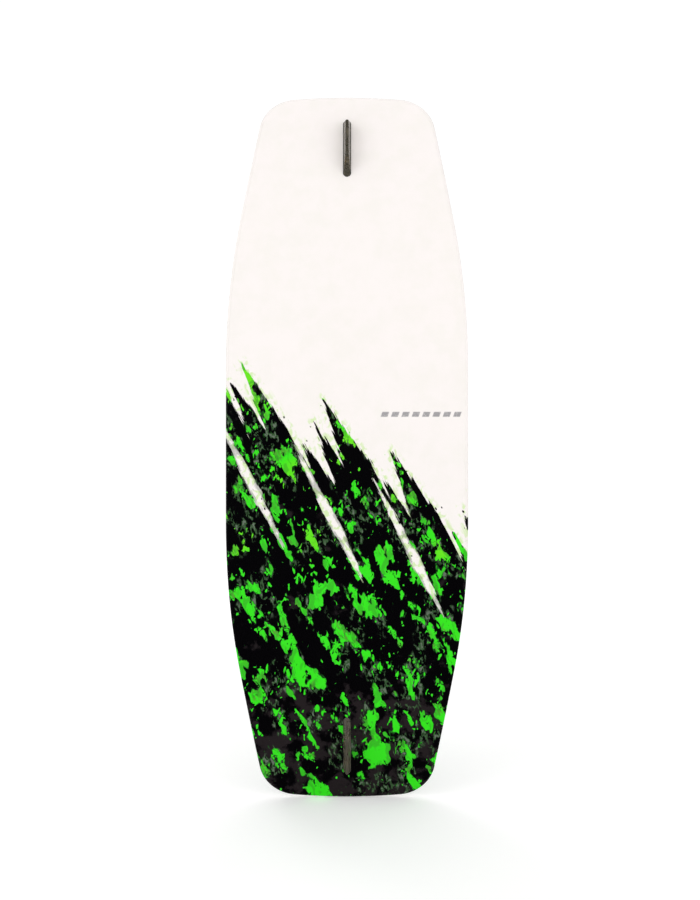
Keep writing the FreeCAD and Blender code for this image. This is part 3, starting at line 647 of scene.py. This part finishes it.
def printed_colour(graph, lean):
    """The brushed print, drawn from the signed distances at the mesh's points and from noise."""
    long_streaks = graph.noise(graph.along_strokes(5, 120, lean), detail=3)
    short_streaks = graph.noise(graph.along_strokes(1.6, 22, lean), detail=2)
    drift = graph.noise(graph.scaled(graph.where, (28, 28, 28)), detail=4, roughness=0.6)
    ragged = graph.math("ADD", graph.centred(long_streaks, 18), graph.centred(short_streaks, 7))
    ragged = graph.math("ADD", ragged, graph.centred(drift, 6))
    ink = graph.step(graph.math("ADD", graph.attribute("ink"), ragged), -0.5, 0.9)
    slit, rubbed = slit_edges(graph, short_streaks, drift)

    shape = green_zones(graph, lean)
    pool, swirl, curls = green_pools(graph, lean, shape)
    green = graph.mix(graph.step(pool, 0.2, 2.0), BOTTLE_GREEN, green_shades(graph, lean, swirl, curls))
    black = flecked_black(graph, lean, drift, shape)
    colour = graph.mix(graph.step(pool, -1.6, 0.2), black, green)

    paper = washed_paper(graph, long_streaks, drift, curls)
    paper = graph.mix(graph.math("MAXIMUM", spatter(graph, lean, curls), rubbed), paper, ASH)

    inked = graph.math("MULTIPLY", ink, graph.math("SUBTRACT", 1.0, slit))
    inked = graph.math("MAXIMUM", inked, droplets(graph, lean))
    return graph.mix(inked, paper, colour)


def worn_gloss(graph):
    """Roughness and surface relief of a ridden gloss sheet: orange peel and hairline scratches."""
    smears = graph.noise(graph.scaled(graph.where, (14, 14, 5)), detail=4)
    scratch_field = graph.noise(graph.scaled(graph.where, (900, 900, 9), turn=(0, 8, 0)), detail=1)
    scratches = graph.step(scratch_field, 0.70, 0.76)
    roughness = graph.step(smears, 0.3, 0.7, 0.16, 0.26)
    roughness = graph.math("ADD", roughness, graph.math("MULTIPLY", scratches, 0.10))
    peel = graph.noise(graph.scaled(graph.where, (260, 260, 260)), detail=2)
    normal = graph.bump(peel, 0.05)
    normal = graph.bump(graph.math("SUBTRACT", 1.0, scratches), 0.02, under=normal)
    return roughness, normal


def dashes(graph):
    """A plain row of eight soft grey dashes, all alike."""
    left, right, level, half_height, pitch = 60 * MM, 212 * MM, 60 * MM, 5.0 * MM, 19 * MM
    across = graph.coordinate("X")
    above = graph.math("SUBTRACT", graph.coordinate("Z"), level)
    off_level = graph.math("ABSOLUTE", above)
    band = graph.step(off_level, half_height - 1.5 * MM, half_height + 0.5 * MM, 1.0, 0.0)
    slant = graph.math("MULTIPLY", above, 0.35)
    from_left = graph.math("SUBTRACT", graph.math("SUBTRACT", across, slant), left)
    phase = graph.math("FRACT", graph.math("DIVIDE", from_left, pitch))
    off_middle = graph.math("ABSOLUTE", graph.math("SUBTRACT", phase, 0.5))
    bars = graph.step(off_middle, 0.28, 0.38, 1.0, 0.0)
    inside = graph.math("GREATER_THAN", from_left, 0.0)
    inside = graph.math("MULTIPLY", inside, graph.math("LESS_THAN", across, right))
    row = graph.math("MULTIPLY", graph.math("MULTIPLY", band, bars), inside)
    worn = graph.noise(graph.scaled(graph.where, (420, 420, 420)), detail=2)
    return graph.math("MULTIPLY", row, graph.step(worn, 0.25, 0.50, 0.45, 0.95))


def base_print_material():
    """The base's print under worn gloss."""
    graph = Graph("base_print")
    roughness, normal = worn_gloss(graph)
    colour = graph.mix(dashes(graph), printed_colour(graph, BASE_LEAN), PALE_GREY)
    return graph.surface(Base_Color=colour, Roughness=roughness, Normal=normal, IOR=1.46,
                         Specular_IOR_Level=0.25, Coat_Weight=0.10, Coat_Roughness=0.06)


def deck_print_material():
    """The deck's print under a fine satin grain."""
    graph = Graph("deck_print")
    colour = printed_colour(graph, DECK_LEAN)
    grain = graph.cells(graph.scaled(graph.where, (520, 520, 520)))
    smears = graph.noise(graph.scaled(graph.where, (12, 12, 12)), detail=4)
    normal = graph.bump(grain, 0.12)
    roughness = graph.step(smears, 0.3, 0.7, 0.34, 0.48)
    return graph.surface(Base_Color=colour, Roughness=roughness, Normal=normal, IOR=1.46)


def rail_material():
    """White moulded sidewall; the prints run over its rounded edges and stop in a worn line."""
    graph = Graph("rail_plastic")
    roughness, normal = worn_gloss(graph)
    wear = graph.centred(graph.noise(graph.scaled(graph.where, (120, 120, 40)), detail=4), 1.6)
    height = graph.math("ADD", graph.attribute("height"), wear)
    over_base = graph.math("SUBTRACT", 1.0, graph.step(height, *BASE_PRINT_ENDS))
    over_deck = graph.step(height, *DECK_PRINT_STARTS)
    scuffs = graph.step(graph.noise(graph.scaled(graph.where, (40, 40, 9)), detail=6), 0.56, 0.70)
    plain = graph.mix(graph.math("MULTIPLY", scuffs, 0.5), RAIL_WHITE, RAIL_SCUFF)
    printed = graph.math("MAXIMUM", over_base, over_deck)
    colour = graph.mix(printed, plain, printed_colour(graph, BASE_LEAN))
    roughness = graph.math("ADD", roughness, graph.math("MULTIPLY", scuffs, 0.15))
    return graph.surface(Base_Color=colour, Roughness=roughness, Normal=normal, IOR=1.46,
                         Coat_Weight=0.2, Coat_Roughness=0.1)


def fin_material():
    """Smoky see-through plastic with flow marks and knocked edges."""
    graph = Graph("fin_plastic")
    flow = graph.noise(graph.scaled(graph.where, (60, 90, 22)), detail=5, distortion=0.8)
    colour = graph.ramp(flow, [(0.30, SMOKE_DARK), (0.72, SMOKE_LIGHT)])
    nicks = graph.noise(graph.scaled(graph.where, (420, 420, 160)), detail=3)
    roughness = graph.step(flow, 0.3, 0.7, 0.22, 0.36)
    normal = graph.bump(nicks, 0.06)
    return graph.surface(Base_Color=colour, Roughness=roughness, Normal=normal, IOR=1.49,
                         Specular_IOR_Level=0.35, Transmission_Weight=0.88)


def rubber_material():
    """Matt black rubber with a fine grain."""
    graph = Graph("gasket_rubber")
    grain = graph.noise(graph.scaled(graph.where, (900, 900, 900)), detail=4)
    colour = graph.ramp(grain, [(0.3, RUBBER_DARK), (0.7, RUBBER_LIGHT)])
    normal = graph.bump(grain, 0.05)
    return graph.surface(Base_Color=colour, Roughness=0.72, Normal=normal)


def metal_material(name, dark, light, roughness):
    """Turned metal: fine tool marks and a little tarnish."""
    graph = Graph(name)
    marks = graph.noise(graph.scaled(graph.where, (250, 2600, 250)), detail=2)
    tarnish = graph.noise(graph.scaled(graph.where, (130, 130, 130)), detail=5)
    colour = graph.ramp(tarnish, [(0.32, dark), (0.62, light)])
    rough = graph.math("ADD", graph.centred(tarnish, 0.2), roughness)
    normal = graph.bump(marks, 0.012)
    return graph.surface(Base_Color=colour, Metallic=1.0, Roughness=rough, Normal=normal)


def laminate_material():
    """Glass cloth in resin: a plain weave just under the surface."""
    graph = Graph("glass_laminate")
    cloth = graph.scaled(graph.where, (160, 160, 160), turn=(0, 45, 0))
    warp, weft = [graph.add("ShaderNodeTexWave", bands_direction=axis) for axis in "XZ"]
    graph.feed(warp.inputs["Vector"], cloth)
    graph.feed(weft.inputs["Vector"], cloth)
    threads = graph.math("MULTIPLY", warp.outputs["Fac"], weft.outputs["Fac"])
    colour = graph.mix(threads, RESIN_DARK, RESIN_LIGHT)
    return graph.surface(Base_Color=colour, Roughness=0.35, Normal=graph.bump(threads, 0.05))


def foam_material():
    """Cut closed-cell foam: pale cells with darker walls."""
    graph = Graph("core_foam")
    cell = graph.cells(graph.scaled(graph.where, (1400, 1400, 1400)))
    patch = graph.noise(graph.scaled(graph.where, (20, 20, 20)), detail=3)
    colour = graph.mix(cell, FOAM_LIGHT, FOAM_DARK)
    colour = graph.mix(graph.math("MULTIPLY", patch, 0.3), colour, FOAM_PATCH)
    return graph.surface(Base_Color=colour, Roughness=0.85, Normal=graph.bump(cell, 0.2))


def block_material():
    """Machined high-density plastic with cutter marks."""
    graph = Graph("block_plastic")
    marks = graph.noise(graph.scaled(graph.where, (300, 40, 300)), detail=3)
    colour = graph.ramp(marks, [(0.3, BLOCK_DARK), (0.7, BLOCK_LIGHT)])
    return graph.surface(Base_Color=colour, Roughness=0.55, Normal=graph.bump(marks, 0.05))


# ---------------------------------------------------------------- the pieces

SLOT_MATERIALS = {
    "base_print": base_print_material(),
    "deck_print": deck_print_material(),
    "rail_plastic": rail_material(),
    "fin_plastic": fin_material(),
    "gasket_rubber": rubber_material(),
    "stainless_steel": metal_material(
        "stainless_steel", (0.42, 0.42, 0.41, 1), (0.66, 0.66, 0.65, 1), 0.28
    ),
    "nut_brass": metal_material("nut_brass", (0.42, 0.27, 0.10, 1), (0.72, 0.52, 0.24, 1), 0.32),
    "sleeve_aluminium": metal_material(
        "sleeve_aluminium", (0.55, 0.55, 0.56, 1), (0.78, 0.78, 0.79, 1), 0.35
    ),
    "glass_laminate": laminate_material(),
    "core_foam": foam_material(),
    "block_plastic": block_material(),
}

for subpart in frame["record"]["subparts"]:
    node = frame["nodes"][subpart["node"]]
    node.data.materials.clear()
    node.data.materials.append(SLOT_MATERIALS[subpart["material_slot"]])


def finish_piece(piece, node, slot):
    """Stands a new piece in for a CAD node, with the material of its slot."""
    piece.data.materials.append(SLOT_MATERIALS[slot])
    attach(piece, "root")
    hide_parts(node)


def insert_holes():
    """Centre and radius of the hole in the deck over each binding insert."""
    return [
        ((side * ROW_OFFSET, foot * STANCE_HALF + (i - (INSERTS_PER_ROW - 1) / 2) * INSERT_PITCH),
         INSERT_HOLE)
        for foot in (1, -1) for side in (1, -1) for i in range(INSERTS_PER_ROW)
    ]


def screw_positions(node):
    """Plan centre of each of the two screws, from the box of a node with a round piece on each."""
    low, high = (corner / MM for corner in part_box(node))
    middle = (low.z + high.z) / 2
    reach = (high.z - low.z) / 2 - (high.x - low.x) / 2
    return [(0.0, middle - reach), (0.0, middle + reach)]


points, outward = outline(MESH_STEP)
base_rim = points - outward * SHEET_INSET
deck_rim = points - outward * RAIL_WIDTH

washer_holes = [
    (centre, INSERT_HOLE) for node in ("nose_fin_washers", "tail_fin_washers")
    for centre in screw_positions(node)
]
base_skin = skin(
    "base_skin", base_rim, [],
    lambda x, z: layer_y(z), lambda x, z: layer_y(z, SHEET), BASE_LEAN,
)
deck_skin = skin(
    "deck_skin", deck_rim, insert_holes() + washer_holes,
    lambda x, z: deck_y(x, z), lambda x, z: deck_y(x, z) - SHEET, DECK_LEAN,
)
finish_piece(base_skin, "base_sheet", "base_print")
finish_piece(deck_skin, "top_sheet", "deck_print")
finish_piece(rail(), "sidewall_rail", "rail_plastic")

# ---------------------------------------------------------------- stage, light and camera

FLOOR_HALF = 40.0  # metres
SEEN_ROOM = 1.05
FRONT_LIGHT, BACK_LIGHT = 0.81, 0.45  # the room is brighter on the base's side
REFLECTED_FRONT, REFLECTED_BACK = 0.03, 0.60
# the floor's glow is lower near the board, a painted soft shadow, and higher far off
SHADOWED_FLOOR_GLOW, FAR_FLOOR_GLOW = 0.27, 0.45
PAINTED_SHADOW_FADE = 0.2, 2.2  # distances over which the floor's glow grows out of its painted soft shadow round the board, in metres
CAMERA_X, CAMERA_Z = 5.5, -5.5
CAMERA_DISTANCE = 1450.0  # from the middle of the base
LENS, SENSOR = 31.6, 36.0


def stage():
    """A pale floor under the tail, which stays out of the board's gloss. It glows so that it reads
    evenly white, and glows less near the board, which paints a soft shadow round it.
    """
    low = cad_box[0][2]
    mesh = bpy.data.meshes.new("floor")
    square = [(-1, -1), (1, -1), (1, 1), (-1, 1)]
    corners = [(x * FLOOR_HALF, y * FLOOR_HALF, low) for x, y in square]
    mesh.from_pydata(corners, [], [(0, 1, 2, 3)])
    floor = bpy.data.objects.new("floor", mesh)
    bpy.context.scene.collection.objects.link(floor)
    graph = Graph("studio_floor")
    haze = graph.noise(graph.scaled(graph.where, (2, 2, 2)), detail=3)
    flat = graph.scaled(graph.where, (1, 1, 0))
    distance = graph.add("ShaderNodeVectorMath", operation="LENGTH")
    graph.feed(distance.inputs[0], flat)
    # less glow near the board paints a soft shadow round it
    glow_with_painted_shadow = graph.step(distance.outputs["Value"], *PAINTED_SHADOW_FADE, SHADOWED_FLOOR_GLOW, FAR_FLOOR_GLOW)
    colour = graph.ramp(haze, [(0.3, FLOOR_DARK), (0.7, FLOOR_LIGHT)])
    mesh.materials.append(graph.surface(Base_Color=colour, Roughness=1.0, Specular_IOR_Level=0.0,
                                        Emission_Color=(1, 1, 1, 1), Emission_Strength=glow_with_painted_shadow))
    floor.visible_glossy = False


def softbox(name, location, size, power):
    """A large area light that looks at the board."""
    light = bpy.data.lights.new(name, "AREA")
    light.shape = "RECTANGLE"
    light.size, light.size_y = size
    light.energy = power
    lamp = bpy.data.objects.new(name, light)
    lamp.location = location
    lamp.rotation_euler = (-Vector(location)).to_track_quat("-Z", "Y").to_euler()
    bpy.context.scene.collection.objects.link(lamp)


def surroundings():
    """A white room to the eye, soft light from it, and a room dim in front for reflections."""
    world = bpy.data.worlds.new("studio")
    world.use_nodes = True
    tree = world.node_tree
    tree.nodes.clear()
    path = tree.nodes.new("ShaderNodeLightPath")
    direction = tree.nodes.new("ShaderNodeTexCoord")
    depth = tree.nodes.new("ShaderNodeSeparateXYZ")
    tree.links.new(direction.outputs["Generated"], depth.inputs[0])

    def ranged(value, low, high, start, end):
        """Runs evenly from start to end as value runs from low to high."""
        node = tree.nodes.new("ShaderNodeMapRange")
        tree.links.new(value, node.inputs["Value"])
        for socket, number in zip(node.inputs[1:5], (low, high, start, end)):
            if isinstance(number, bpy.types.NodeSocket):
                tree.links.new(number, socket)
            else:
                socket.default_value = number
        return node.outputs["Result"]

    lit = ranged(depth.outputs["Y"], -1.0, 1.0, FRONT_LIGHT, BACK_LIGHT)
    reflected = ranged(depth.outputs["Y"], -0.2, 0.8, REFLECTED_FRONT, REFLECTED_BACK)
    unseen = ranged(path.outputs["Is Glossy Ray"], 0.0, 1.0, lit, reflected)
    strength = ranged(path.outputs["Is Camera Ray"], 0.0, 1.0, unseen, SEEN_ROOM)
    background = tree.nodes.new("ShaderNodeBackground")
    output = tree.nodes.new("ShaderNodeOutputWorld")
    tree.links.new(strength, background.inputs["Strength"])
    tree.links.new(background.outputs["Background"], output.inputs["Surface"])
    background.inputs["Color"].default_value = (1.0, 1.0, 0.995, 1)
    bpy.context.scene.world = world


def camera():
    """Square on to the base, about a board's length away."""
    data = bpy.data.cameras.new("camera")
    data.lens = LENS
    data.sensor_width = SENSOR
    data.dof.use_dof = False
    data.clip_start = 0.01
    view = bpy.data.objects.new("camera", data)
    view.location = (CAMERA_X * MM, (BASE_Y - CAMERA_DISTANCE) * MM, CAMERA_Z * MM)
    view.rotation_euler = (math.radians(90), 0, 0)
    bpy.context.scene.collection.objects.link(view)
    bpy.context.scene.camera = view


stage()
softbox("softbox_left", (-2.6, -2.0, 1.5), (1.6, 2.4), 18)
softbox("softbox_right", (2.6, -2.0, 0.9), (1.6, 2.4), 13)
softbox("softbox_top", (0.0, -0.3, 3.2), (2.4, 2.4), 14)
softbox("softbox_back_left", (-2.2, 2.6, 1.6), (1.6, 2.0), 17)
softbox("softbox_back_right", (2.6, 2.0, 1.0), (1.6, 2.0), 7)
surroundings()
camera()
bpy.context.scene.view_settings.view_transform = "Standard"
